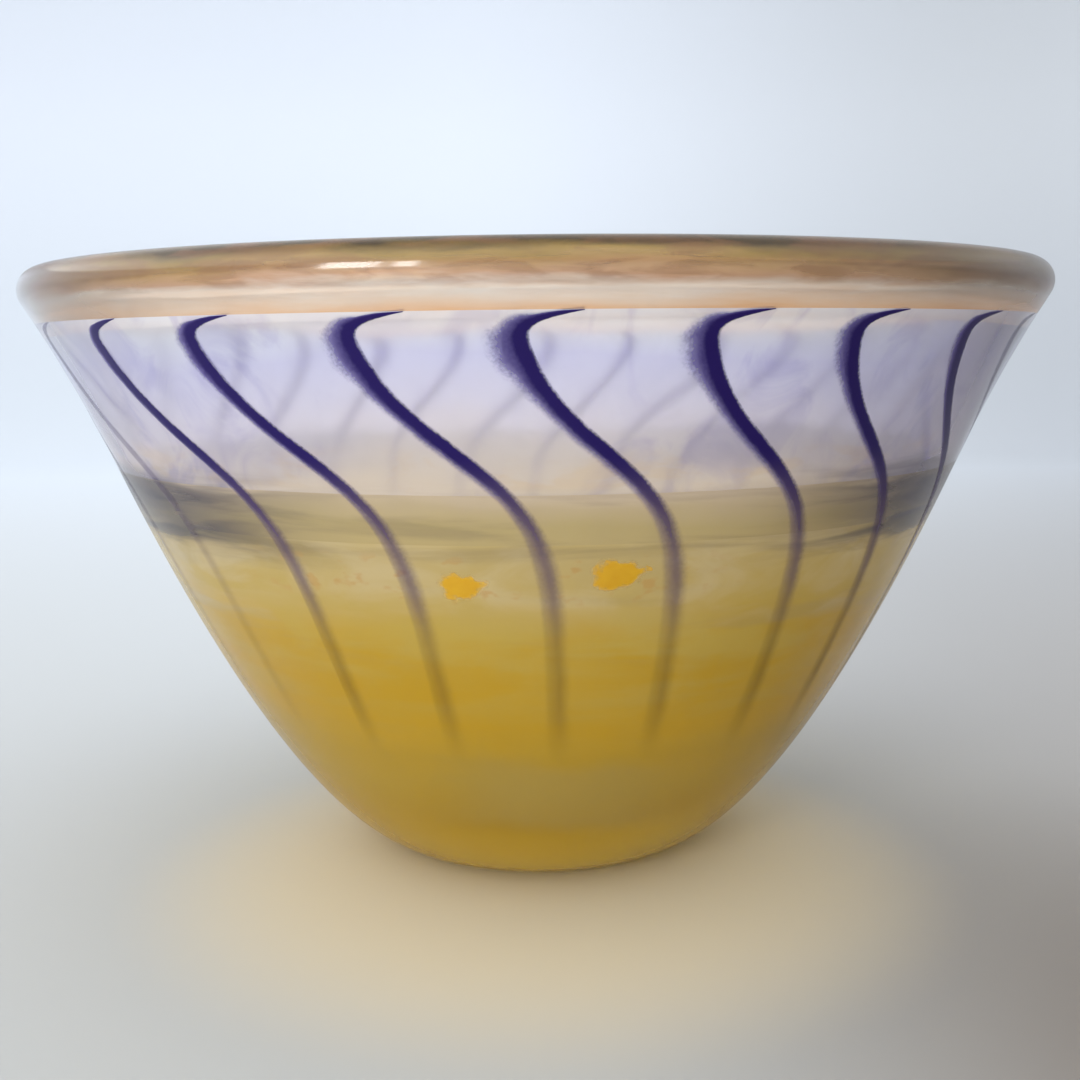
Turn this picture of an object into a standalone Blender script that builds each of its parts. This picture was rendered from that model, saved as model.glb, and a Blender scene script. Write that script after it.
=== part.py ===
"""A blown glass bowl, built from the pieces of hot glass that the maker puts together.

A thick clear lining holds the cavity. Its outside is cased in three colours, one above the other:
a yellow cup with the ground base, a narrow smoky band at the seam, and a flared lilac collar. A
heavy amber lip wrap closes the top edge. Twenty-four violet threads hang from under the lip, hook
back, swing round the collar and run down the cup, and two amber chips sit among them. Threads and
chips lie in seats cut into the coloured glass, as they do once they are rolled flush.

Metres, +Z up. The origin is on the bowl's axis, at the level of the table.
Angles about the axis are counted from the front, which faces -Y, and grow towards +X.
"""

import math

import bmesh
import bpy
from mathutils import Matrix, Vector

# Overall form
BOWL_DIAMETER = 0.150       # over the lip
SEAM_HEIGHT = 0.060         # where the yellow cup's colour ends and the lilac begins
SEAM_RADIUS = 0.0631        # outer face at the seam
COLLAR_HEIGHT = 0.020       # lilac glass above the seam
BAND_HEIGHT = 0.006         # smoky glass just below the seam
BASE_RADIUS = 0.0221        # flat that the bowl stands on
CUP_FULLNESS = 0.615        # power of the cup's outline: lower is rounder at the base

# Lip wrap
LIP_HEIGHT = 0.0075         # from the collar's top edge to the top of the bowl
LIP_THICKNESS = 0.0062      # across the rounded top
LIP_FLARE = 0.0021          # how far the lip reaches out past the collar
LIP_STEP = 0.0004           # ledge where the wrap meets the wall, outside and in
LIP_ROLL = 30.0             # degrees by which the rounded top runs on below its middle

# Thickness of the glass, measured square to the face
COLOUR_THICKNESS = 0.0022   # coloured casing
LINING_THICKNESS = 0.0020   # clear lining at the collar
LINING_SWELL = 0.0016       # how much thicker the clear lining is at the foot of the wall
COLOUR_FLOOR = 0.0040       # yellow glass under the clear floor
CLEAR_FLOOR = 0.0067        # clear glass between the yellow floor and the cavity
FLOOR_ROUNDING = 0.0150     # height over which the cavity's floor turns into its wall
SEAT_ROUNDING = 0.0080      # the same for the inside of the yellow cup
FUSE_GAP = 0.0003           # kept between neighbouring pieces

# Ground hollow in the middle of the base
PUNTY_RADIUS = 0.0140
PUNTY_DEPTH = 0.0012

# Threads
THREAD_COUNT = 24
THREAD_START = -3.6         # degrees from the front to the first thread, at the seam
THREAD_PAIRING = 0.4        # degrees: the gaps are wide and narrow by turns
THREAD_BUNCHING = 1.6       # degrees: the threads open out on one side of the bowl
THREAD_SWING = 8.9          # degrees each way, as a thread swings round the collar
SWING_RISE = 0.0045         # middle of the swing above the seam
SWING_HEIGHT = 0.0090       # height over which it mostly happens
THREAD_DRIFT = 50.0         # degrees per metre of height, below and above the seam alike
HOOK_REACH = 6.5            # degrees that the tail runs back under the lip
HOOK_HEIGHT = 0.0008        # height over which the hook dies away
HOOK_DROP = 0.0008          # tail's centre below the collar's top edge
THREAD_END_HEIGHT = 0.0225  # lower tips of the threads
TAIL_HALF_WIDTH = 0.00028
HOOK_HALF_WIDTH = 0.00120
RUN_HALF_WIDTH = 0.00075
TIP_HALF_WIDTH = 0.00040
HOOK_SHARE = 0.30           # share of a thread's stations at which it is widest
THREAD_FLATNESS = 0.55      # depth of a thread as a share of its width
THREAD_PROUD = 0.0002       # how far a thread stands out of the wall
THREAD_STATIONS = 12
THREAD_SIDES = 6

# Amber chips: name, place from the first thread as a share of the threads' pitch, drop below the
# smoky band, half width, half height
CHIPS = (
    ("amber_chip_left", -0.69, 0.0051, 0.0025, 0.0017),
    ("amber_chip_right", 0.51, 0.0038, 0.0029, 0.0020),
)
CHIP_THICKNESS = 0.0010
CHIP_PROUD = 0.00015
CHIP_RAGGEDNESS = 0.14      # share by which a chip's outline wanders
CHIP_CORNERS = 9

SEGMENTS = 40               # facets round the bowl
WALL_STEPS = 7              # facets up the cup's wall
COLLAR_STEPS = 3
FLOOR_STEPS = 4
PUNTY_STEPS = 3
LIP_STEPS = 8
SMOOTH_BELOW = 50.0         # degrees between faces that are shaded as one

# Heights and radii that follow from the sizes above
COLLAR_TOP = SEAM_HEIGHT + COLLAR_HEIGHT
BAND_BOTTOM = SEAM_HEIGHT - BAND_HEIGHT
COLLAR_TOP_RADIUS = BOWL_DIAMETER / 2 - LIP_FLARE
LINING_DEPTH = COLOUR_THICKNESS + FUSE_GAP
WALL_DEPTH = LINING_DEPTH + LINING_THICKNESS
LINING_FLOOR = COLOUR_FLOOR + FUSE_GAP
CAVITY_FLOOR = LINING_FLOOR + CLEAR_FLOOR


# ---------------------------------------------------------------- outline of the wall

def wall_radius(height):
    """Outer face. The cup follows a power of its height, and the collar flares on from its slope."""
    if height <= SEAM_HEIGHT:
        rise = max(height, 0.0) / SEAM_HEIGHT
        return BASE_RADIUS + (SEAM_RADIUS - BASE_RADIUS) * rise ** CUP_FULLNESS
    above = height - SEAM_HEIGHT
    straight = SEAM_RADIUS + seam_slope() * above
    flare = COLLAR_TOP_RADIUS - SEAM_RADIUS - seam_slope() * COLLAR_HEIGHT
    return straight + flare * (above / COLLAR_HEIGHT) ** 2


def seam_slope():
    return (SEAM_RADIUS - BASE_RADIUS) * CUP_FULLNESS / SEAM_HEIGHT


def wall_slope(height):
    """Change of radius with height."""
    step = 1e-5
    return (wall_radius(height + step) - wall_radius(height - step)) / (2 * step)


def layer_radius(height, depth):
    """Radius, at a height, of a face that lies a depth under the outer one, measured square to it."""
    return wall_radius(height) - depth * math.hypot(1, wall_slope(height))


def hollow(depth, swell, floor, rounding, top):
    """Face of a hollow from the axis up to a height, as (radius, height) points.

    It follows the wall at a depth that grows by swell towards the floor, and its foot is drawn in to
    the axis along an ellipse of the rounding's height.
    """
    heights = [floor + rounding * (1 - math.cos(math.pi / 2 * i / FLOOR_STEPS))
               for i in range(FLOOR_STEPS + 1)]
    wall = top - floor - rounding
    heights += [floor + rounding + wall * i / WALL_STEPS for i in range(1, WALL_STEPS + 1)]
    points = []
    for height in heights:
        rise = min((height - floor) / rounding, 1.0)
        drawn_in = math.sqrt(1 - (1 - rise) ** 2)
        low = 1 - (height - floor) / (top - floor)
        points.append((drawn_in * layer_radius(height, depth + swell * low ** 2), height))
    return points


def outer_face(bottom, top, steps):
    """Outer face between two heights, with its points closest together near the base."""
    low = math.sqrt(bottom / top)
    heights = [top * (low + (1 - low) * i / steps) ** 2 for i in range(steps + 1)]
    return [(wall_radius(height), height) for height in heights]


# ---------------------------------------------------------------- building solids

def add_object(name, mesh_data, material):
    """An object of that mesh, shaded smooth but for its sharp edges."""
    mesh = bpy.data.meshes.new(name)
    bmesh.ops.recalc_face_normals(mesh_data, faces=mesh_data.faces)
    mesh_data.to_mesh(mesh)
    mesh_data.free()
    mesh.shade_smooth()
    mesh.set_sharp_from_angle(angle=math.radians(SMOOTH_BELOW))
    body = bpy.data.objects.new(name, mesh)
    bpy.context.scene.collection.objects.link(body)
    if material:
        mesh.materials.append(material)
    return body


def revolve(name, outline, material, on_axis=False):
    """Turns an outline of (radius, height) points about the axis.

    The outline is a closed loop, or on_axis runs from one point on the axis to another.
    """
    profile = bmesh.new()
    corners = [profile.verts.new((radius, 0, height)) for radius, height in outline]
    pairs = list(zip(corners, corners[1:]))
    if not on_axis:
        pairs.append((corners[-1], corners[0]))
    edges = [profile.edges.new(pair) for pair in pairs]
    bmesh.ops.spin(profile, geom=corners + edges, cent=(0, 0, 0), axis=(0, 0, 1),
                   angle=2 * math.pi, steps=SEGMENTS, use_merge=True)
    bmesh.ops.remove_doubles(profile, verts=profile.verts, dist=1e-6)
    return add_object(name, profile, material)


def cutter(name, mesh_data):
    """A helper that is cut out of its neighbours and is not a piece of the bowl."""
    body = add_object(name, mesh_data, None)
    body.hide_render = True
    body.display_type = "WIRE"
    return body


def cut(body, tool):
    """Cuts a helper's shape out of a piece."""
    difference = body.modifiers.new(tool.name, "BOOLEAN")
    difference.operation = "DIFFERENCE"
    difference.solver = "EXACT"
    difference.object = tool


def glass(name, colour, roughness, clarity):
    """Glass of one colour. Clarity is the share of light that passes through it unscattered."""
    material = bpy.data.materials.new(name)
    material.use_nodes = True
    shader = material.node_tree.nodes["Principled BSDF"]
    shader.inputs["Base Color"].default_value = (*colour, 1)
    shader.inputs["Roughness"].default_value = roughness
    shader.inputs["Metallic"].default_value = 0.0
    shader.inputs["IOR"].default_value = 1.5
    shader.inputs["Transmission Weight"].default_value = clarity
    return material


# ---------------------------------------------------------------- glass bodies

def yellow_cup(material):
    """Casing of the lower wall and the base, with the ground hollow in its underside."""
    underside = [(PUNTY_RADIUS * i / PUNTY_STEPS, PUNTY_DEPTH * (1 - (i / PUNTY_STEPS) ** 2))
                 for i in range(PUNTY_STEPS + 1)]
    outside = outer_face(0.0, BAND_BOTTOM, WALL_STEPS)
    inside = hollow(COLOUR_THICKNESS, 0.0, COLOUR_FLOOR, SEAT_ROUNDING, BAND_BOTTOM)
    return revolve("yellow_cup", underside + outside + inside[::-1], material, on_axis=True)


def casing_ring(name, bottom, top, steps, material):
    """A band of coloured casing between two heights."""
    outside = outer_face(bottom, top, steps)
    inside = [(layer_radius(height, COLOUR_THICKNESS), height) for _, height in outside]
    return revolve(name, outside + inside[::-1], material)


def clear_lining(material):
    """Inner vessel of clear glass: the cavity's wall and its thick floor."""
    outside = hollow(LINING_DEPTH, 0.0, LINING_FLOOR, SEAT_ROUNDING, COLLAR_TOP)
    inside = hollow(WALL_DEPTH, LINING_SWELL, CAVITY_FLOOR, FLOOR_ROUNDING, COLLAR_TOP)
    return revolve("clear_lining", outside + inside[::-1], material, on_axis=True)


def lip_wrap(material):
    """Heavy rounded lip, seated across the top edges of the collar and the lining."""
    seat = COLLAR_TOP + FUSE_GAP
    half = LIP_THICKNESS / 2
    middle = (BOWL_DIAMETER / 2 - half, COLLAR_TOP + LIP_HEIGHT - half)
    roll = math.radians(LIP_ROLL)
    outline = [(wall_radius(COLLAR_TOP) + LIP_STEP, seat)]
    for i in range(LIP_STEPS + 1):
        angle = -roll + (math.pi + 2 * roll) * i / LIP_STEPS
        outline.append((middle[0] + half * math.cos(angle), middle[1] + half * math.sin(angle)))
    outline.append((layer_radius(COLLAR_TOP, WALL_DEPTH) - LIP_STEP, seat))
    return revolve("lip_wrap", outline, material)


# ---------------------------------------------------------------- threads

def thread_angle(index, height):
    """Angle of a thread at a height, in radians: its place at the seam, its swing, drift and hook."""
    place = THREAD_START + 360.0 * index / THREAD_COUNT
    place += THREAD_PAIRING * (1 if index % 2 == 0 else -1)
    place += THREAD_BUNCHING * math.sin(2 * math.pi * index / THREAD_COUNT)
    swing = math.tanh((SEAM_HEIGHT + SWING_RISE - height) / SWING_HEIGHT)
    swing -= math.tanh(SWING_RISE / SWING_HEIGHT)
    drift = THREAD_DRIFT * (SEAM_HEIGHT - height)
    hook = HOOK_REACH * math.exp((height - thread_top()) / HOOK_HEIGHT)
    return math.radians(place + THREAD_SWING * swing + drift + hook)


def thread_top():
    return COLLAR_TOP - HOOK_DROP


def on_wall(angle, height):
    """Point of the outer face, the face's outward normal there, and the level direction to the right."""
    outward = Vector((math.sin(angle), -math.cos(angle), 0))
    right = Vector((math.cos(angle), math.sin(angle), 0))
    normal = (outward - Vector((0, 0, wall_slope(height)))).normalized()
    return outward * wall_radius(height) + Vector((0, 0, height)), normal, right


def thread_point(index, share):
    """Point and normal at a share of the way down a thread. Stations crowd together in the hook."""
    height = thread_top() + (THREAD_END_HEIGHT - thread_top()) * share ** 1.8
    point, normal, _ = on_wall(thread_angle(index, height), height)
    return point, normal


def thread_half_width(share):
    """It swells from the tail to the hook, thins along the run and ends in a fine tip."""
    stops = ((0.0, TAIL_HALF_WIDTH), (HOOK_SHARE, HOOK_HALF_WIDTH),
             (0.7, RUN_HALF_WIDTH), (1.0, TIP_HALF_WIDTH))
    for (start, wide), (end, narrow) in zip(stops, stops[1:]):
        if share <= end:
            along = (share - start) / (end - start)
            smooth = along * along * (3 - 2 * along)
            return wide + (narrow - wide) * smooth
    return TIP_HALF_WIDTH


def add_thread(mesh_data, index, clearance):
    """Sweeps a flattened section down the wall. A seat is the same sweep, larger by the clearance."""
    rings = []
    for station in range(THREAD_STATIONS):
        share = station / (THREAD_STATIONS - 1)
        point, normal = thread_point(index, share)
        step = 0.01
        before, _ = thread_point(index, max(share - step, 0.0))
        after, _ = thread_point(index, min(share + step, 1.0))
        along = (after - before).normalized()
        if station == 0:
            point = point - along * clearance
        if station == THREAD_STATIONS - 1:
            point = point + along * clearance
        across = along.cross(normal).normalized()
        half_width = thread_half_width(share)
        half_depth = half_width * THREAD_FLATNESS
        centre = point + normal * (THREAD_PROUD - half_depth)
        ring = []
        for side in range(THREAD_SIDES):
            turn = 2 * math.pi * side / THREAD_SIDES
            offset = across * (half_width + clearance) * math.cos(turn)
            offset += normal * (half_depth + clearance) * math.sin(turn)
            ring.append(mesh_data.verts.new(centre + offset))
        rings.append(ring)
    for ring, following in zip(rings, rings[1:]):
        for side in range(THREAD_SIDES):
            beside = (side + 1) % THREAD_SIDES
            mesh_data.faces.new((ring[side], ring[beside], following[beside], following[side]))
    mesh_data.faces.new(rings[0][::-1])
    mesh_data.faces.new(rings[-1])


def thread(index, material):
    strand = bmesh.new()
    add_thread(strand, index, 0.0)
    return add_object(f"thread_{index + 1:02d}", strand, material)


def thread_seats():
    seats = bmesh.new()
    for index in range(THREAD_COUNT):
        add_thread(seats, index, FUSE_GAP)
    return cutter("thread_seats", seats)


# ---------------------------------------------------------------- chips

def add_chip(mesh_data, share, drop, half_width, half_height, clearance):
    """A ragged flake that lies in the wall. Its pocket is the same flake, larger by the clearance."""
    height = BAND_BOTTOM - drop
    angle = thread_angle(0, height) + share * 2 * math.pi / THREAD_COUNT
    point, normal, right = on_wall(angle, height)
    up = normal.cross(right).normalized()
    place = Matrix((right, up, normal)).transposed().to_4x4()
    place.translation = point
    corners = []
    for i in range(CHIP_CORNERS):
        turn = 2 * math.pi * i / CHIP_CORNERS
        ragged = 1 + CHIP_RAGGEDNESS * math.sin(3 * turn + 1)
        corner = Vector((math.cos(turn) * half_width, math.sin(turn) * half_height, 0)) * ragged
        corners.append(corner + corner.normalized() * clearance)
    top = [mesh_data.verts.new(place @ (c + Vector((0, 0, CHIP_PROUD + clearance)))) for c in corners]
    bottom = CHIP_PROUD - CHIP_THICKNESS - clearance
    foot = [mesh_data.verts.new(place @ (c + Vector((0, 0, bottom)))) for c in corners]
    mesh_data.faces.new(top)
    mesh_data.faces.new(foot[::-1])
    for i in range(CHIP_CORNERS):
        beside = (i + 1) % CHIP_CORNERS
        mesh_data.faces.new((top[i], foot[i], foot[beside], top[beside]))


def chip(name, place, material):
    flake = bmesh.new()
    add_chip(flake, *place, 0.0)
    return add_object(name, flake, material)


def chip_pockets():
    pockets = bmesh.new()
    for _, *place in CHIPS:
        add_chip(pockets, *place, FUSE_GAP)
    return cutter("chip_pockets", pockets)


# ---------------------------------------------------------------- assembly

def build():
    yellow = glass("yellow_glass", (0.72, 0.52, 0.10), 0.10, 0.45)
    smoky = glass("smoky_glass", (0.45, 0.40, 0.38), 0.10, 0.50)
    lilac = glass("lilac_glass", (0.78, 0.76, 0.90), 0.10, 0.60)
    clear = glass("clear_glass", (0.97, 0.98, 0.98), 0.04, 1.00)
    amber = glass("amber_lip_glass", (0.62, 0.45, 0.28), 0.06, 0.60)
    violet = glass("violet_glass", (0.06, 0.03, 0.20), 0.08, 0.10)
    orange = glass("orange_glass", (0.80, 0.45, 0.03), 0.10, 0.20)

    seats = thread_seats()
    clear_lining(clear)
    cup = yellow_cup(yellow)
    band = casing_ring("smoky_band", BAND_BOTTOM + FUSE_GAP, SEAM_HEIGHT, 1, smoky)
    collar = casing_ring("lilac_collar", SEAM_HEIGHT + FUSE_GAP, COLLAR_TOP, COLLAR_STEPS, lilac)
    for body in (cup, band, collar):
        cut(body, seats)
    cut(cup, chip_pockets())
    lip_wrap(amber)
    for index in range(THREAD_COUNT):
        thread(index, violet)
    for name, *place in CHIPS:
        chip(name, place, orange)


for old in list(bpy.data.objects):
    bpy.data.objects.remove(old)
build()
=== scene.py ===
"""Looks of a blown glass bowl: milky yellow and lilac casing over clear glass, an amber lip wrap
and violet threads that hook back under it.

Metres, +Z up, the bowl's axis on the origin. Angles about the axis are counted from the front,
which faces -Y, and grow towards +X. Colours are written as a screen shows them, from 0 to 255.
"""

import math

import bpy
import numpy as np
from mathutils import Matrix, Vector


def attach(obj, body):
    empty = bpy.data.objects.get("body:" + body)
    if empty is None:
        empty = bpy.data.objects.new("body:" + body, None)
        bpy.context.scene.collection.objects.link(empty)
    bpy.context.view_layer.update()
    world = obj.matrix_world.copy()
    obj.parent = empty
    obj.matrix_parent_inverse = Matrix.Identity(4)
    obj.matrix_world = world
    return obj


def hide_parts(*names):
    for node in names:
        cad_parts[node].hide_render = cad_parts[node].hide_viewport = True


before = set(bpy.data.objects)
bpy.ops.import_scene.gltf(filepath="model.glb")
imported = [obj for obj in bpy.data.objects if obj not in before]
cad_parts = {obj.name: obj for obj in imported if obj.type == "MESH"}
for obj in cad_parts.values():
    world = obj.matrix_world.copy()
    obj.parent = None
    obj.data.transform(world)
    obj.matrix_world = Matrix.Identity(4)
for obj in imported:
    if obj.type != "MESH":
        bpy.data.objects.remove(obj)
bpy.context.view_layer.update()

# Form of the bowl, as in the solids. The roll is in degrees.
BOWL_DIAMETER = 0.150
SEAM_HEIGHT = 0.060
SEAM_RADIUS = 0.0631
COLLAR_HEIGHT = 0.020
BAND_HEIGHT = 0.006
BASE_RADIUS = 0.0221
CUP_FULLNESS = 0.615
LIP_HEIGHT = 0.0075
LIP_THICKNESS = 0.0062
LIP_FLARE = 0.0021
LIP_ROLL = 30.0
COLOUR_THICKNESS = 0.0022
LINING_THICKNESS = 0.0020
LINING_SWELL = 0.0016
COLOUR_FLOOR = 0.0040
CLEAR_FLOOR = 0.0067
FLOOR_ROUNDING = 0.0150
SEAT_ROUNDING = 0.0080
PUNTY_RADIUS = 0.0140
PUNTY_DEPTH = 0.0012

# Threads, as in the solids. Places, swing and reach are in degrees, the drift in degrees a metre.
THREAD_COUNT = 24
THREAD_START = -3.6
THREAD_PAIRING = 0.4
THREAD_BUNCHING = 1.6
THREAD_SWING = 8.9
SWING_RISE = 0.0045
SWING_HEIGHT = 0.0090
THREAD_DRIFT = 50.0
HOOK_REACH = 6.0
HOOK_HEIGHT = 0.0008
HOOK_DROP = 0.00005
THREAD_END_HEIGHT = 0.0225
THREAD_DEPTH = 0.0009
THREAD_PROUD = 0.00005

# Drop below a thread's start, half width of its dark core there, and width of its soft left side
THREAD_WIDTHS = (
    (0.0, 0.00005, 0.0),
    (0.0003, 0.00026, 0.00005),
    (0.0009, 0.00050, 0.00015),
    (0.0016, 0.00082, 0.00130),
    (0.0026, 0.00100, 0.00320),
    (0.0045, 0.00102, 0.00290),
    (0.0070, 0.00096, 0.00180),
    (0.0110, 0.00086, 0.00100),
    (0.0200, 0.00090, 0.00060),
    (0.0280, 0.00130, 0.00070),
    (0.0580, 0.00140, 0.00090),
)
FAINT_THREADS = (5, 19, 20, 21)     # counted from 0
SOFT_BEATS = 3              # times round the bowl that the threads' soft sides widen and narrow
SOFT_MEAN = 0.65            # their width on average, as a share of the table's, and how far
SOFT_SWING = 0.35           # it swings either way
WIDEST_THREAD = 1.2         # number of the thread where they are widest
THREAD_CROWDING = 2.2       # power that crowds a thread's rows towards its hook
START_TAPER = 60            # a thread has its full section after 1 / 60 of its rows,
END_TAPER = 40              # and loses it again over the last 1 / 40
FAINT_STRENGTH = 0.35

# Amber chips: place from the first thread as a share of the pitch, drop below the band, half sizes
CHIPS = (
    (-0.69, 0.0051, 0.0031, 0.0021),
    (0.51, 0.0038, 0.0035, 0.0024),
)
CHIP_DEPTH = 0.0008
CHIP_PROUD = 0.00004

INNER_MARK = 3.0            # added to an inlay's marks on its inner face

# Meshes: rows and steps round, and what shapes them
SIDES = 256
WALL_ROWS = 80
PUNTY_ROWS = 12
LIP_ROWS = 61
FLANK_ROWS = 12
FLANK_BULGE = 0.55          # share of a flank's height, from its top, where its tangents meet
THREAD_ROWS = 150
THREAD_AROUND = 24
CHIP_AROUND = 64
CHIP_ROWS = 6
SHARP_EDGE = 50.0           # degrees
SLOPE_STEP = 1e-5
LEAST_HEIGHT = 1e-9         # keeps the wall's slope finite at the foot
TINY = 1e-6

# Studio: a paper sheet with a flat floor, a rim that sweeps up, and two upright panes of light
FLOOR_GAP = 0.0002
SHEET_FLAT = 0.75
SHEET_SWEEP = 0.35
SHEET_RISE = 0.44
FLAT_ROWS = 40
SWEEP_ROWS = 24
PANE_HEIGHT = 0.66
PANE_TINT = (1.0, 0.98, 0.95)
PANE_AIM = (0, 0, 0.05)
PANES = (                   # name, place, width, power in watts
    ("wide_pane", (-0.560, -0.790, 0.075), 0.19, 5.6),
    ("narrow_pane", (-0.400, -0.885, 0.075), 0.070, 2.1),
)
SKY_TINT = (0.95, 0.98, 1.0, 1.0)
SKY_STRENGTH = 0.745
GLOW_STRENGTH = 1.18
GLOW_HEADING = (-0.45, 0.10, 0.89)

# Camera, with the lens in millimetres and its dip and roll in degrees
CAMERA_PLACE = (0.00023, -0.2083, 0.0763)
CAMERA_DIP = 8.32
CAMERA_ROLL = -0.62
CAMERA_LENS = 44.13
SENSOR_WIDTH = 36.0
NEAREST_SEEN = 0.01

LAYER_IOR = 1.4             # the same in all layers, so that rays pass the fused joints unbent

COLLAR_TOP = SEAM_HEIGHT + COLLAR_HEIGHT
BAND_BOTTOM = SEAM_HEIGHT - BAND_HEIGHT
COLLAR_TOP_RADIUS = BOWL_DIAMETER / 2 - LIP_FLARE
SEAM_SLOPE = (SEAM_RADIUS - BASE_RADIUS) * CUP_FULLNESS / SEAM_HEIGHT
WALL_DEPTH = COLOUR_THICKNESS + LINING_THICKNESS
THREAD_TOP = COLLAR_TOP - HOOK_DROP


# ---------------------------------------------------------------- forms

def wall_radius(height):
    """Outer face: a power of the height up to the seam, then the seam's slope and a quadratic
    flare."""
    rise = np.clip(height, LEAST_HEIGHT, SEAM_HEIGHT) / SEAM_HEIGHT
    above = np.maximum(height - SEAM_HEIGHT, 0)
    cup = BASE_RADIUS + (SEAM_RADIUS - BASE_RADIUS) * rise ** CUP_FULLNESS
    flare = COLLAR_TOP_RADIUS - SEAM_RADIUS - SEAM_SLOPE * COLLAR_HEIGHT
    return cup + SEAM_SLOPE * above + flare * (above / COLLAR_HEIGHT) ** 2


def wall_slope(height):
    """Change of radius with height, by a central difference."""
    above, below = wall_radius(height + SLOPE_STEP), wall_radius(height - SLOPE_STEP)
    return (above - below) / (2 * SLOPE_STEP)


def layer(height, depth):
    """(radius, height) points of a face at a depth under the outer one, measured square to it."""
    radius = wall_radius(height) - depth * np.hypot(1, wall_slope(height))
    return np.stack([radius, height], 1)


def spaced(bottom, top, rows):
    """Heights whose square roots are evenly spaced, so that they crowd where the wall turns into
    the base."""
    return np.linspace(math.sqrt(bottom), math.sqrt(top), rows) ** 2


def hollow(depth, swell, floor, rounding, top):
    """Face of a hollow from the axis up: the wall at a depth that swells as the square of the
    share down to the floor, with its foot drawn in to the axis along an ellipse."""
    low_rows = floor + rounding * (1 - np.cos(np.linspace(0, math.pi / 2, WALL_ROWS // 3)))
    high_rows = np.linspace(floor + rounding, top, WALL_ROWS // 2)[1:]
    height = np.concatenate([low_rows, high_rows])
    rise = np.clip((height - floor) / rounding, 0, 1)
    low = 1 - (height - floor) / (top - floor)
    points = layer(height, depth + swell * low ** 2)
    points[:, 0] *= np.sqrt(1 - (1 - rise) ** 2)
    return points


def on_wall(angle, height):
    """Points of the outer face, its outward normals and the level directions to the right."""
    sine, cosine, zero = np.sin(angle), np.cos(angle), np.zeros_like(angle)
    outward = np.stack([sine, -cosine, zero], -1)
    right = np.stack([cosine, sine, zero], -1)
    up = np.stack([zero, zero, zero + 1], -1)
    normal = outward - up * wall_slope(height)[..., None]
    normal /= np.linalg.norm(normal, axis=-1, keepdims=True)
    return outward * wall_radius(height)[..., None] + up * height[..., None], normal, right


def onto_wall(points, offset):
    """Moves points level onto the outer face, then out along its normal by an offset."""
    angle = np.arctan2(points[..., 0], -points[..., 1])
    wall, normal, _ = on_wall(angle, points[..., 2])
    return wall + normal * offset[..., None]


# ---------------------------------------------------------------- meshes

def closed_surface(name, rings, ends=None, zones=None, marks=None):
    """Joins each ring of points to the next. The last ring is joined to the first, or each end is
    closed by a fan to a point of its own. Zones give a material number to each step between rings,
    and marks a pair of coordinates to each point, kept as the UV map."""
    rows, around = rings.shape[:2]
    points = rings.reshape(-1, 3)
    ring = np.arange(rows * around).reshape(rows, around)
    beside = np.roll(ring, -1, axis=1)
    following = np.roll(np.arange(rows), -1)[: rows - 1 if ends is not None else rows]
    steps = len(following)
    quads = np.stack([ring[:steps], beside[:steps], beside[following], ring[following]], -1)
    faces = quads.reshape(-1, 4).tolist()
    numbers = np.zeros(steps, int) if zones is None else np.asarray(zones)
    numbers = np.repeat(numbers, around).tolist()
    if ends is not None:
        first, last = len(points), len(points) + 1
        points = np.concatenate([points, np.asarray(ends, float)])
        faces += [[first, b, a] for a, b in zip(ring[0].tolist(), beside[0].tolist())]
        faces += [[last, a, b] for a, b in zip(ring[-1].tolist(), beside[-1].tolist())]
        numbers += [numbers[0]] * around + [numbers[-1]] * around
    mesh = bpy.data.meshes.new(name)
    mesh.from_pydata(points.tolist(), [], faces)
    mesh.polygons.foreach_set("material_index", numbers)
    if marks is not None:
        marks = marks.reshape(-1, 2)
        if ends is not None:
            marks = np.concatenate([marks, marks[:1], marks[-1:]])
        corner = np.empty(len(mesh.loops), np.int32)
        mesh.loops.foreach_get("vertex_index", corner)
        mesh.uv_layers.new(name="surface").data.foreach_set("uv", marks[corner].ravel())
    mesh.update()
    mesh.calc_loop_triangles()
    corners = np.empty(len(mesh.loop_triangles) * 3, np.int32)
    mesh.loop_triangles.foreach_get("vertices", corners)
    if np.linalg.det(points[corners.reshape(-1, 3)]).sum() < 0:
        mesh.flip_normals()
    mesh.shade_smooth()
    mesh.set_sharp_from_angle(angle=math.radians(SHARP_EDGE))
    return mesh


def full_turn(steps):
    """Equal angles all the way round."""
    return np.arange(steps) * 2 * math.pi / steps


def turned(name, outline, zones, on_axis):
    """Surface of revolution: a point at (r, z) goes to (r sin a, -r cos a, z) for SIDES equal
    angles. Where the outline starts and ends on the axis, those two points close the surface."""
    angle = full_turn(SIDES)
    circle = np.stack([np.sin(angle), -np.cos(angle)], -1)
    body = outline[1:-1] if on_axis else outline
    level = np.broadcast_to(body[:, None, 1:2], (len(body), SIDES, 1))
    rings = np.concatenate([body[:, None, 0:1] * circle[None], level], -1)
    ends = [(0, 0, outline[0, 1]), (0, 0, outline[-1, 1])] if on_axis else None
    steps = np.asarray(zones)[1:-1] if on_axis else zones
    return closed_surface(name, rings, ends, steps)


def zones_of(*stretches):
    """Material numbers of an outline's steps, from (number, how many steps) pairs."""
    return np.concatenate([np.full(count, number) for number, count in stretches])


def add_piece(name, mesh, nodes, materials):
    """Puts a finished mesh in the scene, in place of the CAD nodes that it stands for."""
    piece = bpy.data.objects.new(name, mesh)
    bpy.context.scene.collection.objects.link(piece)
    for material in materials:
        mesh.materials.append(material)
    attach(piece, "root")
    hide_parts(*nodes)
    return piece


# ---------------------------------------------------------------- shader arithmetic

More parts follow.
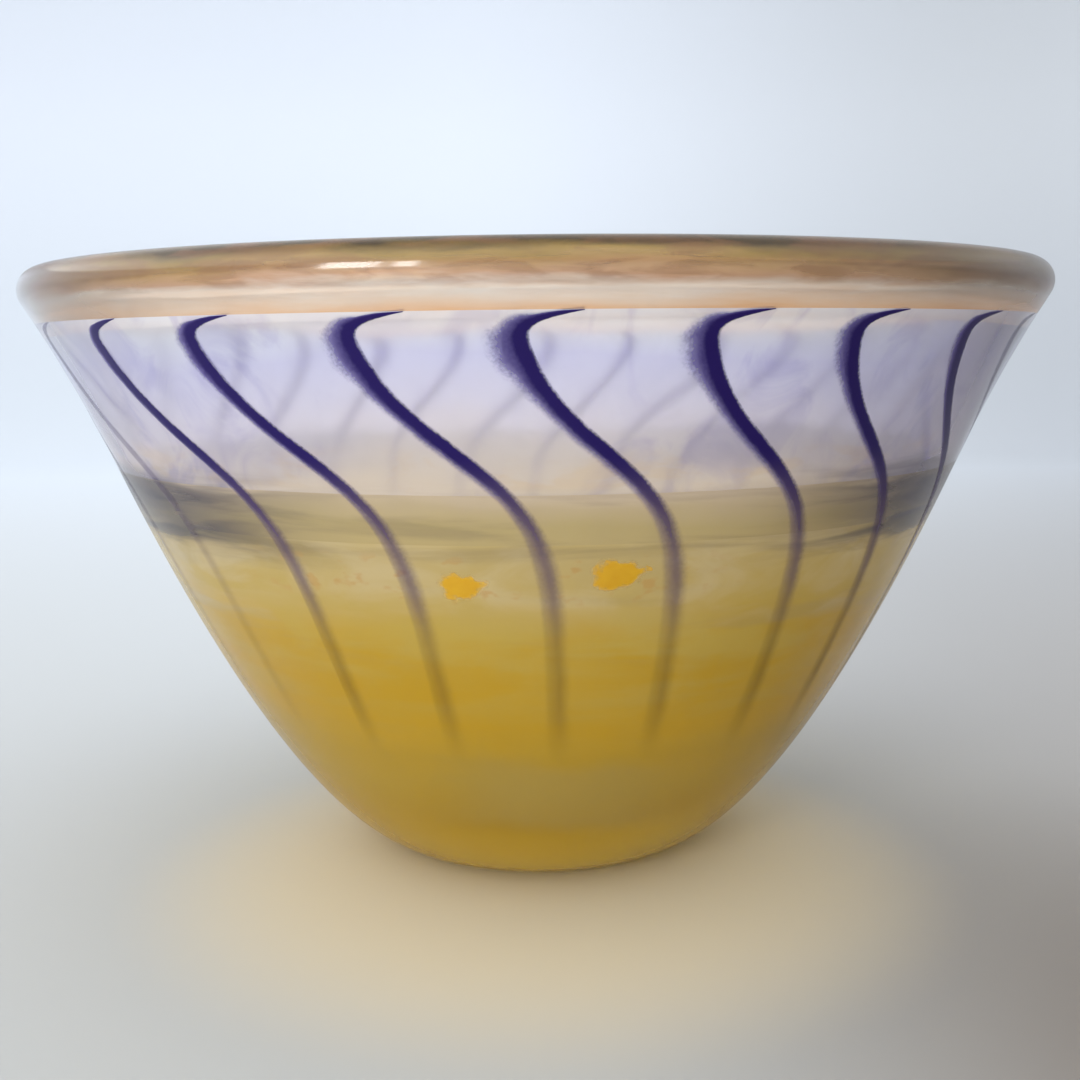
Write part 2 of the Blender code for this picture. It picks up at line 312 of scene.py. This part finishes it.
class Signal:
    """A shader socket in Python arithmetic: an expression adds the Math nodes that work it out."""

    def __init__(self, socket):
        self.socket = socket

    def worked(self, operation, first, second):
        """The result of a Math node."""
        inputs = {0: first, 1: second}
        return add_node(self.socket.id_data, "ShaderNodeMath", {"operation": operation}, inputs)

    def __add__(self, other):
        return self.worked("ADD", self, other)

    def __sub__(self, other):
        return self.worked("SUBTRACT", self, other)

    def __rsub__(self, other):
        return self.worked("SUBTRACT", other, self)

    def __mul__(self, other):
        return self.worked("MULTIPLY", self, other)

    def __abs__(self):
        return self.worked("ABSOLUTE", self, 0.0)

    __radd__ = __add__
    __rmul__ = __mul__


def add_node(tree, kind, settings=None, inputs=None, output=0):
    """Adds a node: its settings first, then the values or links of its sockets, by name or by
    number."""
    node = tree.nodes.new(kind)
    for name, value in (settings or {}).items():
        if name == "stops":
            fill_ramp(node.color_ramp, value)
        else:
            setattr(node, name, value)
    for name, value in (inputs or {}).items():
        if isinstance(value, Signal):
            tree.links.new(value.socket, node.inputs[name])
        else:
            node.inputs[name].default_value = value
    return Signal(node.outputs[output]) if node.outputs else node


def fill_ramp(ramp, stops):
    """Gives a colour ramp its (position, red, green, blue) stops."""
    while len(ramp.elements) < len(stops):
        ramp.elements.new(1.0)
    for element, (position, *tone) in zip(ramp.elements, stops):
        element.position = position
        element.color = colour(*tone)


def colour(red, green, blue):
    """A screen colour, from 0 to 255, as the linear one that a shader takes, by the sRGB curve."""
    share = np.array([red, green, blue]) / 255
    linear = np.where(share <= 0.04045, share / 12.92, ((share + 0.055) / 1.055) ** 2.4)
    return (*linear.tolist(), 1.0)


def mix(share, first, second):
    """First colour where the share is 0, second where it is 1."""
    tree = share.socket.id_data
    settings = {"data_type": "RGBA"}
    return add_node(tree, "ShaderNodeMix", settings, {0: share, 6: first, 7: second}, output=2)


def smooth(value, start, end):
    """0 before start and 1 after end, with a smooth step between them."""
    inputs = {"Value": value, "From Min": start, "From Max": end}
    settings = {"interpolation_type": "SMOOTHSTEP"}
    return add_node(value.socket.id_data, "ShaderNodeMapRange", settings, inputs)


def window(value, rise, fall):
    """0 outside, 1 within: up over the rise and down again over the fall."""
    return smooth(value, *rise) * (1 - smooth(value, *fall))


def linear_share(value, start, end):
    """0 at start and 1 at end, straight between them and held beyond."""
    inputs = {"Value": value, "From Min": start, "From Max": end}
    return add_node(value.socket.id_data, "ShaderNodeMapRange", {}, inputs)


class Finish:
    """A material with its node tree, and the patterns that the bowl's finishes share."""

    def __init__(self, name):
        self.material = bpy.data.materials.new(name)
        self.material.use_nodes = True
        self.tree = self.material.node_tree
        self.shader = self.tree.nodes["Principled BSDF"]
        self.place = add_node(self.tree, "ShaderNodeTexCoord", output=3)
        parts = add_node(self.tree, "ShaderNodeSeparateXYZ", {}, {0: self.place})
        outputs = parts.socket.node.outputs
        self.x, self.y, self.z = (Signal(outputs[name]) for name in "XYZ")

    def stretched(self, scale):
        """Object coordinates, stretched by a scale along each axis."""
        return add_node(self.tree, "ShaderNodeMapping", {}, {"Vector": self.place, "Scale": scale})

    def clouds(self, scale, stretch=(1, 1, 1), detail=3.0, warp=0.0):
        """Noise from 0 to 1, with features of about 1 / scale metres."""
        inputs = {"Vector": self.stretched(stretch), "Scale": scale, "Detail": detail,
                  "Distortion": warp}
        return add_node(self.tree, "ShaderNodeTexNoise", {}, inputs)

    def ramp(self, share, stops):
        """A colour that runs through the stops as the share grows."""
        return add_node(self.tree, "ShaderNodeValToRGB", {"stops": stops}, {0: share})

    def smoke_and_flank_shade(self):
        """Share of grey: a few thin level streaks about the seam, and strong painted shade on the
        bowl's two flanks, where the wall is seen edge on. It dies out upwards at the seam and
        downwards in the cup."""
        streaks = self.clouds(34.0, (1, 1, 12), detail=5.0, warp=0.4)
        ragged = self.z + (streaks - 0.5) * 0.008
        # Painted shade on the bowl's two flanks, where the wall is seen edge on
        flank_shade = smooth(abs(self.x), 0.018, 0.052)
        share = smooth(streaks, 0.44, 0.66) * 0.26 + flank_shade * 0.86
        return share * window(ragged, (0.0500, 0.0550), (0.0590, 0.0625))

    def marks(self):
        """An inlay's two marks: the place across it or out from its middle, and the one along."""
        uv = add_node(self.tree, "ShaderNodeUVMap", {"uv_map": "surface"})
        outputs = add_node(self.tree, "ShaderNodeSeparateXYZ", {}, {0: uv}).socket.node.outputs
        return Signal(outputs["X"]), Signal(outputs["Y"])

    def waves(self, upright=0.6):
        """Gives the face the slow waves of worked glass. They lie closer together upwards as
        upright grows."""
        self.relief(self.clouds(30.0, (1, 1, upright), detail=1.0), 0.0005)

    def relief(self, height, depth):
        """Feeds the shader a bump of that depth in metres."""
        inputs = {"Height": height, "Distance": depth, "Strength": 1.0}
        self.feed("Normal", add_node(self.tree, "ShaderNodeBump", {}, inputs))

    def feed(self, name, value):
        """Links a signal to one of the shader's sockets, or sets the socket to a value."""
        if isinstance(value, Signal):
            self.tree.links.new(value.socket, self.shader.inputs[name])
        else:
            self.shader.inputs[name].default_value = value

    def feed_all(self, values):
        """Feeds several sockets and gives back the finished material."""
        for name, value in values.items():
            self.feed(name, value)
        return self.material

    def layer_of_glass(self, body, roughness, clearness):
        """A layer of the wall, milky where its clearness is under 1."""
        return self.feed_all({"Base Color": body, "Roughness": roughness, "IOR": LAYER_IOR,
                              "Transmission Weight": clearness})


# ---------------------------------------------------------------- finishes

def fused_joint():
    """Where two layers of glass are fused, no face is left to see."""
    finish = Finish("fused_joint")
    clear = add_node(finish.tree, "ShaderNodeBsdfTransparent")
    finish.tree.links.new(clear.socket, finish.tree.nodes["Material Output"].inputs["Surface"])
    finish.tree.nodes.remove(finish.shader)
    return finish.material


def clear_glass():
    """Clear, a little straw in the thick floor, with a slow ripple."""
    finish = Finish("clear_glass")
    ripple = finish.clouds(45.0, (1, 1, 0.5), detail=1.0)
    finish.relief(ripple, 0.0006)
    tint = mix(smooth(finish.z, 0.010, 0.030), colour(238, 236, 214), colour(248, 249, 250))
    return finish.layer_of_glass(tint, roughness=0.02, clearness=1.0)


def yellow_glass():
    """Milky yellow: straw under the seam, stronger below it, deep and olive in the thick foot. It
    has cream patches, amber flecks about the chips and a paler patch low on the front."""
    finish = Finish("yellow_glass")
    drift = finish.clouds(26.0, (1, 1, 1.2), detail=3.0, warp=0.4)
    patches = finish.clouds(70.0, (1, 1, 2.6), detail=6.0, warp=0.8)
    bands = finish.clouds(30.0, (1, 1, 9), detail=5.0, warp=0.3)
    share = linear_share(finish.z + (drift - 0.5) * 0.014, 0.0, BAND_BOTTOM)
    body = finish.ramp(share, [
        (0.00, 192, 154, 36), (0.20, 184, 146, 22),
        (0.36, 192, 158, 50), (0.55, 204, 164, 44),
        (0.78, 208, 176, 78), (1.00, 206, 181, 122)])
    strong = smooth(patches * 0.5 + bands * 0.5, 0.40, 0.62) * smooth(finish.z, 0.020, 0.032)
    strong = strong * (1 - smooth(finish.z + (bands - 0.5) * 0.012, 0.038, 0.050))
    body = mix(strong * 0.75, body, colour(208, 162, 14))
    straw = smooth(bands, 0.52, 0.70) * smooth(finish.z, 0.034, 0.044)
    body = mix(straw * 0.35, body, colour(178, 158, 112))
    cream = smooth(patches, 0.40, 0.68) * smooth(finish.z + (bands - 0.5) * 0.010, 0.041, 0.049)
    body = mix(cream * 0.45, body, colour(228, 208, 170))
    pale = window(finish.z + (drift - 0.5) * 0.010, (0.010, 0.014), (0.022, 0.026))
    pale = pale * (1 - smooth(abs(finish.x - 0.003), 0.006, 0.020))
    body = mix(pale * 0.45, body, colour(176, 156, 92))
    # Grey streaks about the seam, with painted shade on the bowl's two flanks
    body = mix(finish.smoke_and_flank_shade(), body, colour(90, 82, 80))
    flecks = smooth(finish.clouds(340.0, (1, 1, 1.6), detail=2.0), 0.57, 0.70)
    flecks = flecks * (1 - smooth(abs(finish.x + 0.006), 0.018, 0.034))
    flecks = flecks * window(finish.z, (0.0455, 0.0480), (0.0510, 0.0535))
    body = mix(flecks * 0.45, body, colour(206, 150, 78))
    finish.waves()
    return finish.layer_of_glass(body, roughness=0.22, clearness=0.32)


def smoky_glass():
    """Level streaks of grey and straw where the lilac runs out over the yellow. The grey is painted
    shade on the bowl's two flanks.
    """
    finish = Finish("smoky_glass")
    veils = finish.clouds(40.0, (1, 1, 4), detail=2.0)
    share = linear_share(finish.z + (veils - 0.5) * 0.005, BAND_BOTTOM, SEAM_HEIGHT)
    body = finish.ramp(share, [
        (0.0, 206, 183, 130), (0.35, 204, 182, 130),
        (0.75, 212, 190, 154), (1.0, 224, 202, 176)])
    # Grey streaks, with painted shade on the bowl's two flanks
    body = mix(finish.smoke_and_flank_shade(), body, colour(74, 68, 82))
    finish.waves(upright=3)
    return finish.layer_of_glass(body, roughness=0.22, clearness=0.37)


def lilac_glass():
    """Pale lilac with violet wisps, whiter under the lip and cream at the seam. It is greyer on the
    bowl's two flanks and darker to the right, both as painted shade."""
    finish = Finish("lilac_glass")
    wisps = finish.clouds(110.0, (1, 1, 0.7), detail=4.0, warp=1.2)
    veils = finish.clouds(34.0, (1, 1, 1), detail=2.0)
    share = linear_share(finish.z + (veils - 0.5) * 0.008, SEAM_HEIGHT, COLLAR_TOP)
    body = finish.ramp(share, [
        (0.0, 255, 236, 222), (0.30, 242, 232, 240),
        (0.75, 230, 226, 250), (0.95, 248, 248, 255)])
    violet = smooth(wisps, 0.46, 0.66) * smooth(veils, 0.34, 0.58)
    body = mix(violet * 0.35, body, colour(160, 152, 214))
    cream = smooth(finish.clouds(90.0, (1, 1, 2.5), detail=4.0, warp=0.4), 0.48, 0.62)
    cream = cream * window(finish.z, (0.0600, 0.0612), (0.0630, 0.0660))
    body = mix(cream * 0.35, body, colour(255, 220, 176))
    # Grey streaks about the seam, with painted shade on the bowl's two flanks
    body = mix(finish.smoke_and_flank_shade(), body, colour(120, 112, 124))
    # Painted shade: greyer on the bowl's two flanks
    body = mix(smooth(abs(finish.x + 0.006), 0.030, 0.070) * 0.72, body, colour(164, 161, 190))
    # Painted shade: darker to the right, away from the light
    body = mix(smooth(finish.x, 0.046, 0.070) * 0.5, body, colour(120, 116, 136))
    finish.waves()
    return finish.layer_of_glass(body, roughness=0.13, clearness=0.55)


def lip_glass():
    """Amber drawn out in level streaks: peach at the seat, then cream, tan and olive, and dark at
    the top. The cream band is partly a painted highlight and the dark top partly painted shade at
    the lip's edge. Both ends are browner as painted shade, and its gloss stops short of the right
    one."""
    finish = Finish("lip_glass")
    streaks = finish.clouds(60.0, (1, 1, 7), detail=4.0, warp=0.4)
    share = linear_share(finish.z + (streaks - 0.5) * 0.0032, COLLAR_TOP, COLLAR_TOP + LIP_HEIGHT)
    # The cream stop is partly a painted highlight, and the dark top stop partly painted shade
    body = finish.ramp(share, [
        (0.00, 250, 198, 148), (0.14, 252, 220, 188),
        (0.32, 255, 244, 230), (0.46, 220, 176, 142),
        (0.60, 204, 164, 110), (0.74, 182, 150, 74), (0.90, 78, 62, 32)])
    brown = finish.clouds(110.0, (1, 1, 6), detail=5.0, warp=0.6)
    brown = smooth(brown, 0.44, 0.62) * smooth(finish.z, 0.0820, 0.0836)
    body = mix(brown * 0.5, body, colour(156, 108, 74))
    # Painted shade: browner towards both ends
    ends = smooth(abs(finish.x + 0.010), 0.024, 0.070) * smooth(finish.z, 0.0812, 0.0846)
    body = mix(ends * 0.8, body, colour(98, 78, 60))
    # Painted shade: tan at the left end
    left_end_shade = smooth(0.0 - finish.x, 0.034, 0.070) * (0.25 + streaks * 0.8)
    body = mix(left_end_shade, body, colour(150, 112, 82))
    gloss = (1 - smooth(finish.z, 0.0856, 0.0868)) * (1 - smooth(finish.x, 0.050, 0.066))
    return finish.feed_all({"Base Color": body, "Roughness": 0.20, "IOR": 1.25,
                            "Transmission Weight": 0.60, "Coat Weight": gloss,
                            "Coat Roughness": 0.10, "Coat IOR": 1.5})


def thread_glass(name, strength):
    """Violet glass. Across a thread, a dark core ends sharply on the right and fades on the left.
    Below the seam it is veiled by the yellow, and lower down it turns brown and thins out. The
    inner face is bluer and fainter."""
    finish = Finish(name)
    left, down = finish.marks()
    within = smooth(down, 1.5, 2.5)
    grain = finish.clouds(2600.0, detail=1.0) + finish.clouds(300.0, detail=2.0)
    left = left + (grain - 1.0) * 0.35
    veiled = 1 - smooth(finish.z, 0.051, 0.065)
    brown = 1 - smooth(finish.z, 0.038, 0.050)
    thin = 1 - smooth(finish.z, 0.040, 0.051)
    core = 1 - smooth(left, 0.5 - veiled * 0.8, 1.85 - veiled * 0.35)
    halo = (1 - smooth(left, 1.1, 2.0)) * (0.35 + smooth(finish.z, 0.062, 0.074) * 0.50)
    edge = smooth(left, -1.15, veiled * 0.9 - 0.55)
    body = mix(core, colour(98, 86, 150), colour(37, 25, 88))
    body = mix(veiled, body, colour(84, 66, 98))
    body = mix(brown, body, colour(102, 76, 42))
    body = mix(within, body, colour(90, 74, 200))
    cover = (core + halo * (1 - core)) * edge * (1 - veiled * 0.20) * strength
    heads = smooth(finish.z, 0.070, 0.076)
    cover = cover * smooth(finish.z, 0.0222, 0.034) * (1 - within * (0.60 - heads * 0.50))
    cover = cover * (1 - thin * 0.42)
    return finish.feed_all({"Base Color": body, "Roughness": 0.3, "IOR": 1.2, "Alpha": cover})


def chip_glass():
    """Bright amber flakes with ragged, browner rims."""
    finish = Finish("chip_glass")
    rim = finish.marks()[0] + (finish.clouds(700.0, detail=2.0) - 0.5) * 0.9
    body = mix(finish.clouds(500.0, detail=3.0), colour(208, 150, 8), colour(222, 172, 30))
    body = mix(smooth(rim, 0.6, 0.95), body, colour(210, 166, 72))
    return finish.feed_all({"Base Color": body, "Roughness": 0.15, "IOR": 1.5,
                            "Alpha": 1 - smooth(rim, 0.62, 1.0)})


# ---------------------------------------------------------------- glass bodies

def yellow_cup(materials):
    """Outline: the ground hollow's parabola, the outer wall, and the seat of the lining."""
    share = np.linspace(0, 1, PUNTY_ROWS)
    underside = np.stack([PUNTY_RADIUS * share, PUNTY_DEPTH * (1 - share ** 2)], 1)
    outside = layer(spaced(0.0, BAND_BOTTOM, WALL_ROWS), 0.0)
    inside = hollow(COLOUR_THICKNESS, 0.0, COLOUR_FLOOR, SEAT_ROUNDING, BAND_BOTTOM)
    outline = np.concatenate([underside, outside, inside[::-1]])
    shown = len(underside) + len(outside) - 1
    zones = zones_of((0, shown), (1, len(outline) - 1 - shown))
    mesh = turned("yellow_cup_glass", outline, zones, on_axis=True)
    return add_piece("yellow_cup_glass", mesh, ["yellow_cup"], materials)


def casing_ring(name, bottom, top, node, materials):
    """A band of casing: its outer face shows, and the other three sides are fused to neighbours."""
    height = np.linspace(bottom, top, WALL_ROWS // 2)
    outline = np.concatenate([layer(height, 0.0), layer(height[::-1], COLOUR_THICKNESS)])
    shown = len(height) - 1
    zones = zones_of((0, shown), (1, len(outline) - shown))
    mesh = turned(name, outline, zones, on_axis=False)
    return add_piece(name, mesh, [node], materials)


def clear_lining(materials):
    """Outline: the fused outside from the axis up, then the cavity's face back down."""
    outside = hollow(COLOUR_THICKNESS, 0.0, COLOUR_FLOOR, SEAT_ROUNDING, COLLAR_TOP)
    inside = hollow(WALL_DEPTH, LINING_SWELL, COLOUR_FLOOR + CLEAR_FLOOR, FLOOR_ROUNDING,
                    COLLAR_TOP)
    outline = np.concatenate([outside, inside[::-1]])
    zones = zones_of((1, len(outside)), (0, len(inside) - 1))
    mesh = turned("clear_lining_glass", outline, zones, on_axis=True)
    return add_piece("clear_lining_glass", mesh, ["clear_lining"], materials)


def lip_wrap(materials):
    """Outline: an arc that runs on below its middle by LIP_ROLL, with smooth flanks to the seat."""
    half = LIP_THICKNESS / 2
    middle = np.array([BOWL_DIAMETER / 2 - half, COLLAR_TOP + LIP_HEIGHT - half])
    roll = math.radians(LIP_ROLL)
    angle = np.linspace(-roll, math.pi + roll, LIP_ROWS)
    arc = middle + half * np.stack([np.cos(angle), np.sin(angle)], 1)
    outer_foot, inner_foot = (layer(np.array([COLLAR_TOP]), depth)[0] for depth in (0, WALL_DEPTH))
    rise = np.linspace(0, 1, FLANK_ROWS)[:-1, None]
    heading = np.array([math.sin(roll), math.cos(roll)])
    outer_flank = flank(outer_foot, arc[0], heading, rise)
    inner_flank = flank(inner_foot, arc[-1], heading, rise)[::-1]
    outline = np.concatenate([outer_flank, arc, inner_flank])
    zones = zones_of((0, len(outline) - 1), (1, 1))
    mesh = turned("lip_wrap_glass", outline, zones, on_axis=False)
    return add_piece("lip_wrap_glass", mesh, ["lip_wrap"], materials)


def flank(foot, shoulder, heading, rise):
    """A quadratic curve from the foot up to the shoulder, which it meets along a heading."""
    control = shoulder - heading * (shoulder[1] - foot[1]) / heading[1] * FLANK_BULGE
    return (1 - rise) ** 2 * foot + 2 * rise * (1 - rise) * control + rise ** 2 * shoulder


# ---------------------------------------------------------------- inlays

def thread_angle(index, height):
    """Place round the seam, a tanh swing through the collar, a steady drift and an exponential
    hook."""
    place = THREAD_START + 360.0 * index / THREAD_COUNT
    place += THREAD_PAIRING * (1 if index % 2 == 0 else -1)
    place += THREAD_BUNCHING * math.sin(2 * math.pi * index / THREAD_COUNT)
    swing = np.tanh((SEAM_HEIGHT + SWING_RISE - height) / SWING_HEIGHT)
    swing -= math.tanh(SWING_RISE / SWING_HEIGHT)
    hook = HOOK_REACH * np.exp((height - THREAD_TOP) / HOOK_HEIGHT)
    return np.radians(place + THREAD_SWING * swing + THREAD_DRIFT * (SEAM_HEIGHT - height) + hook)


def thread(index):
    """A lens-shaped strip along the thread's path. At share s down it the height has fallen by
    s ** THREAD_CROWDING of the whole drop, and the section is an ellipse, wider on the soft left
    side, laid onto the wall. The soft side's width follows SOFT_MEAN + SOFT_SWING cos b, where b
    turns SOFT_BEATS times round the bowl. Marks across run from -1 and 1 at the core's edges to 2
    at the soft side's edge. Marks down are s, and INNER_MARK more on the inner face."""
    share = np.linspace(0, 1, THREAD_ROWS)
    height = THREAD_TOP + (THREAD_END_HEIGHT - THREAD_TOP) * share ** THREAD_CROWDING
    centre, normal, _ = on_wall(thread_angle(index, height), height)
    along = np.gradient(centre, axis=0)
    along /= np.linalg.norm(along, axis=1, keepdims=True)
    left = np.cross(along, normal)
    left /= np.linalg.norm(left, axis=1, keepdims=True)
    drop, core, soft = np.array(THREAD_WIDTHS).T
    core, soft = (np.interp(THREAD_TOP - height, drop, widths)[:, None] for widths in (core, soft))
    beat = 2 * math.pi * SOFT_BEATS * (index - WIDEST_THREAD) / THREAD_COUNT
    soft = soft * (SOFT_MEAN + SOFT_SWING * math.cos(beat))
    turn = full_turn(THREAD_AROUND)
    across = np.cos(turn) * np.where(np.cos(turn) > 0, core + soft, core)
    reach = np.where(across < core, across / core, 1 + (across - core) / np.maximum(soft, TINY))
    thick = np.sin(turn)
    lift = np.where(thick > 0, thick * THREAD_PROUD, thick * THREAD_DEPTH)
    taper = np.clip(share * START_TAPER, 0, 1) * np.clip((1 - share) * END_TAPER, 0, 1)
    taper = np.sqrt(taper)
    flat = centre[:, None] + left[:, None] * (across * taper[:, None])[..., None]
    rings = onto_wall(flat, lift[None] * taper[:, None])
    inner = np.where(thick < -TINY, INNER_MARK, 0.0)
    marks = np.stack(np.broadcast_arrays(reach, inner[None] + share[:, None]), -1)
    return rings[1:-1], centre[[0, -1]], marks[1:-1]


def threads(name, numbers, material):
    """Some of the threads as one piece, one closed strip each."""
    nodes = [f"thread_{number + 1:02d}" for number in numbers]
    inlay(name, [thread(number) for number in numbers], nodes, material)


def inlay(name, shapes, nodes, material):
    """Several closed shapes as one piece. It lies flush in the glass, so it throws no shadow on
    the glass round it."""
    meshes = [closed_surface(name, rings, ends, marks=marks) for rings, ends, marks in shapes]
    piece = add_piece(name, joined(name, meshes), nodes, [material])
    piece.visible_shadow = False
    piece.visible_diffuse = False


def joined(name, meshes):
    """The first mesh with all the others in it, which keep their UV maps and their shading."""
    objects = [bpy.data.objects.new(name, mesh) for mesh in meshes]
    for body in objects:
        bpy.context.scene.collection.objects.link(body)
    with bpy.context.temp_override(active_object=objects[0], selected_editable_objects=objects):
        bpy.ops.object.join()
    bpy.data.objects.remove(objects[0])
    return meshes[0]


def chip(share, drop, half_width, half_height):
    """A flake on the wall, at a share of the pitch from the first thread and a drop below the
    band: an ellipse whose size wanders as 1 + 0.12 sin(3 a + 1) + 0.06 sin 7 a with the angle a,
    domed as 1 - rho ** 2 at the share rho of the way out. Marks out are rho, and INNER_MARK more
    on the inner face, which is left clear. Marks along are a."""
    height = np.array([BAND_BOTTOM - drop])
    angle = thread_angle(0, height) + share * 2 * math.pi / THREAD_COUNT
    centre, normal, right = (part[0] for part in on_wall(angle, height))
    up = np.cross(normal, right)
    turn = full_turn(CHIP_AROUND)
    ragged = 1 + 0.12 * np.sin(3 * turn + 1) + 0.06 * np.sin(7 * turn)
    rho = np.linspace(0, 1, CHIP_ROWS)[1:]
    rho = np.concatenate([rho, rho[-2::-1]])
    outer = np.arange(len(rho)) < CHIP_ROWS - 1
    lift = (1 - rho ** 2) * np.where(outer, CHIP_PROUD, -CHIP_DEPTH)
    wide = (rho[:, None] * (ragged * np.cos(turn) * half_width)[None])[..., None]
    tall = (rho[:, None] * (ragged * np.sin(turn) * half_height)[None])[..., None]
    flat = centre + right * wide + up * tall
    rings = onto_wall(flat, np.broadcast_to(lift[:, None], flat.shape[:2]))
    ends = onto_wall(np.stack([centre, centre]), np.array([CHIP_PROUD, -CHIP_DEPTH]))
    inner = np.where(outer, 0.0, INNER_MARK)
    marks = np.stack(np.broadcast_arrays((rho + inner)[:, None], turn[None]), -1)
    return rings, ends, marks


def chips(material):
    """Both flakes as one piece."""
    nodes = ["amber_chip_left", "amber_chip_right"]
    inlay("amber_chips", [chip(*place) for place in CHIPS], nodes, material)


# ---------------------------------------------------------------- studio

def backdrop():
    """A seamless pale sheet: a flat floor whose rim sweeps up all round as a quarter ellipse. It
    lies FLOOR_GAP under the foot, because two faces in one plane would render black."""
    flat = np.linspace(0, SHEET_FLAT, FLAT_ROWS)[1:]
    turn = np.linspace(0, math.pi / 2, SWEEP_ROWS)[1:]
    radius = np.concatenate([flat, SHEET_FLAT + SHEET_SWEEP * np.sin(turn)])
    height = np.concatenate([np.zeros(len(flat)), SHEET_RISE * (1 - np.cos(turn))]) - FLOOR_GAP
    angle = full_turn(SIDES)
    rings = np.stack([radius[:, None] * np.sin(angle), -radius[:, None] * np.cos(angle),
                      np.repeat(height[:, None], SIDES, 1)], -1)
    ring = np.arange(len(radius) * SIDES).reshape(len(radius), SIDES)
    beside = np.roll(ring, -1, 1)
    quads = np.stack([ring[:-1], beside[:-1], beside[1:], ring[1:]], -1).reshape(-1, 4)
    middle = len(radius) * SIDES
    fan = [[middle, b, a] for a, b in zip(ring[0].tolist(), beside[0].tolist())]
    mesh = bpy.data.meshes.new("backdrop")
    mesh.from_pydata(rings.reshape(-1, 3).tolist() + [(0, 0, -FLOOR_GAP)], [],
                     quads.tolist() + fan)
    mesh.shade_smooth()
    mesh.materials.append(paper_with_painted_light())
    sheet = bpy.data.objects.new("backdrop", mesh)
    bpy.context.scene.collection.objects.link(sheet)


def paper_with_painted_light():
    """Pale paper whose tone is painted light and shade: painted shade to the right and close to the
    bowl's front, bluer and lighter far off and up the sheet, a painted shadow in the corner on the
    right, and a painted pool of warm light about the foot."""
    finish = Finish("paper_with_painted_light")
    near = abs(finish.y + 0.12)
    depth = linear_share(near, 0.0, 0.72)
    # Painted shade: darker to the right and close to the bowl's front
    shade = smooth(finish.x, -0.10, 0.45) * 0.7 + smooth(finish.x, -0.02, 0.14) * (1 - depth) * 0.6
    left = mix(depth, colour(177, 178, 177), colour(208, 214, 222))
    right = mix(depth, colour(140, 132, 126), colour(157, 159, 164))
    # Painted light: lighter up the sheet
    wall = smooth(finish.z, 0.02, 0.30)
    left = mix(wall, left, colour(232, 237, 246))
    right = mix(wall, right, colour(180, 182, 184))
    tone = mix(shade, left, right)
    # Painted shadow in the corner right of the bowl
    corner = window(finish.x, (0.0, 0.09), (0.12, 0.30)) * (1 - smooth(near, 0.03, 0.15))
    tone = mix(corner * 0.85, tone, colour(104, 92, 82))
    # Painted pool of warm light about the foot, as from light through the yellow glass
    ahead = finish.y + 0.02
    foot = finish.x * finish.x + ahead * ahead
    tone = mix((1 - smooth(foot, 0.0006, 0.0040)) * 0.6, tone, colour(226, 208, 170))
    return finish.feed_all({"Base Color": tone, "Roughness": 0.9, "Specular IOR Level": 0.1})


def pane(name, place, width, power):
    """An upright rectangular lamp that faces the bowl."""
    lamp = bpy.data.lights.new(name, "AREA")
    lamp.shape = "RECTANGLE"
    lamp.size, lamp.size_y = width, PANE_HEIGHT
    lamp.energy = power
    lamp.color = PANE_TINT
    body = bpy.data.objects.new(name, lamp)
    bpy.context.scene.collection.objects.link(body)
    body.location = place
    aim = np.array(PANE_AIM) - np.array(place)
    body.rotation_mode = "QUATERNION"
    body.rotation_quaternion = Vector(aim).to_track_quat("-Z", "Y")


def studio():
    """An even, pale sky that grows brighter overhead and to the left, and two panes of light."""
    world = bpy.data.worlds.new("studio")
    bpy.context.scene.world = world
    world.use_nodes = True
    tree = world.node_tree
    heading = add_node(tree, "ShaderNodeTexCoord", output=0)
    towards = add_node(tree, "ShaderNodeVectorMath", {"operation": "DOT_PRODUCT"},
                       {0: heading, 1: GLOW_HEADING}, output=1)
    strength = SKY_STRENGTH + smooth(towards, 0.0, 1.0) * GLOW_STRENGTH
    sky = tree.nodes["Background"]
    sky.inputs["Color"].default_value = SKY_TINT
    tree.links.new(strength.socket, sky.inputs["Strength"])
    for setting in PANES:
        pane(*setting)


def camera():
    """Solved from the photograph's lip ellipse, wall outline and threads."""
    data = bpy.data.cameras.new("camera")
    data.sensor_width = SENSOR_WIDTH
    data.lens = CAMERA_LENS
    data.clip_start = NEAREST_SEEN
    body = bpy.data.objects.new("camera", data)
    bpy.context.scene.collection.objects.link(body)
    pitch, roll = math.radians(90 - CAMERA_DIP), math.radians(CAMERA_ROLL)
    turn = Matrix.Rotation(pitch, 4, "X") @ Matrix.Rotation(roll, 4, "Z")
    body.matrix_world = Matrix.Translation(CAMERA_PLACE) @ turn
    bpy.context.scene.camera = body


# ---------------------------------------------------------------- the bowl

joint = fused_joint()
yellow_cup([yellow_glass(), joint])
casing_ring("smoky_band_glass", BAND_BOTTOM, SEAM_HEIGHT,
            "smoky_band", [smoky_glass(), joint])
casing_ring("lilac_collar_glass", SEAM_HEIGHT, COLLAR_TOP,
            "lilac_collar", [lilac_glass(), joint])
clear_lining([clear_glass(), joint])
lip_wrap([lip_glass(), joint])
bold = [number for number in range(THREAD_COUNT) if number not in FAINT_THREADS]
threads("bold_threads", bold, thread_glass("bold_thread_glass", 1.0))
threads("faint_threads", FAINT_THREADS, thread_glass("faint_thread_glass", FAINT_STRENGTH))
chips(chip_glass())
backdrop()
studio()
camera()

bpy.context.scene.view_settings.view_transform = "Standard"
